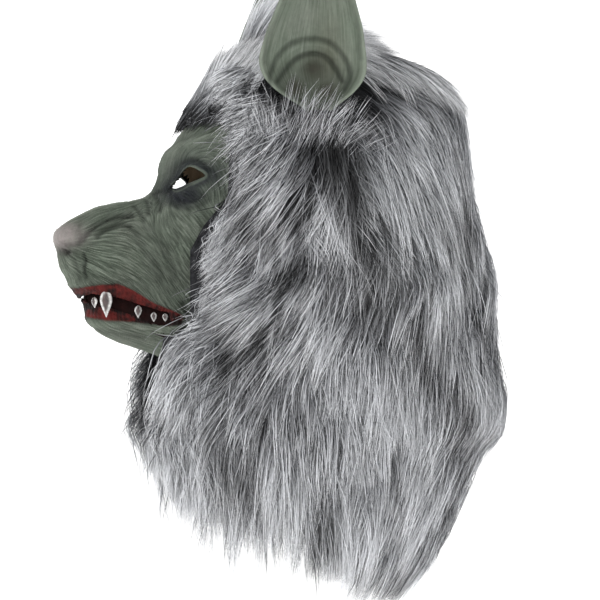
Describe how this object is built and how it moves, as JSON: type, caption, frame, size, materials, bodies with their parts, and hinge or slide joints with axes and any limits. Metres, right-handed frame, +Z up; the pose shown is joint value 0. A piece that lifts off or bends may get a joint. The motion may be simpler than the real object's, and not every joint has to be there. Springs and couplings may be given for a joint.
{
  "type": "latex halloween mask",
  "caption": "full-head werewolf mask with a latex muzzle, flexible jaw and ears, painted teeth and a long grey faux-fur hood that hangs over the neck",
  "frame": {"origin": "inside of the crown, where the mask rests on the top of the head that wears it", "axes": "+Z up, the face looks along -Y, +X is the wearer's left"},
  "size_m": [0.2556, 0.3874, 0.5854],
  "materials": {
    "latex": "matt grey-green latex, dry-brushed lighter on the ridges and airbrushed dark round the eyes",
    "ear_latex": "matt grey-green latex, darker in the cup of the ear",
    "web": "dark brown-red painted latex",
    "tooth": "glossy painted off-white",
    "fur": "long two-tone acrylic pile, silver-grey over a near-black undercoat",
    "knit": "dark knitted backing cloth"
  },
  "bodies": {
    "head": {"latex_head": "latex", "mouth_web": "web", "front_teeth": "tooth", "fangs": "tooth", "cheek_teeth": "tooth", "forelock_backing": "knit", "forelock_pile": "fur", "crown_backing": "knit", "crown_pile": "fur", "left_side_backing": "knit", "left_side_pile": "fur", "right_side_backing": "knit", "right_side_pile": "fur", "back_backing": "knit", "back_pile": "fur"},
    "left_ear": {"left_ear": "ear_latex"},
    "right_ear": {"right_ear": "ear_latex"},
    "jaw": {"latex_jaw": "latex", "beard_backing": "knit", "beard_pile": "fur"},
    "nape_flap": {"nape_backing": "knit", "nape_pile": "fur"}
  },
  "joints": [
    {"name": "left_ear_flex", "type": "hinge", "parent": "head", "child": "left_ear", "pos_m": [0.08, 0.018, -0.054], "axis": [0, 1, 0], "range_deg": [-4, 18], "stiffness_Nm_per_rad": 0.4},
    {"name": "right_ear_flex", "type": "hinge", "parent": "head", "child": "right_ear", "pos_m": [-0.08, 0.018, -0.054], "axis": [0, -1, 0], "range_deg": [-4, 18], "stiffness_Nm_per_rad": 0.4},
    {"name": "jaw_drop", "type": "hinge", "parent": "head", "child": "jaw", "pos_m": [0, -0.03, -0.232], "axis": [1, 0, 0], "range_deg": [0, 6], "stiffness_Nm_per_rad": 4, "springref_deg": -2.86},
    {"name": "nape_lift", "type": "hinge", "parent": "head", "child": "nape_flap", "pos_m": [0, 0.163, -0.238], "axis": [1, 0, 0], "range_deg": [0, 45]}
  ]
}
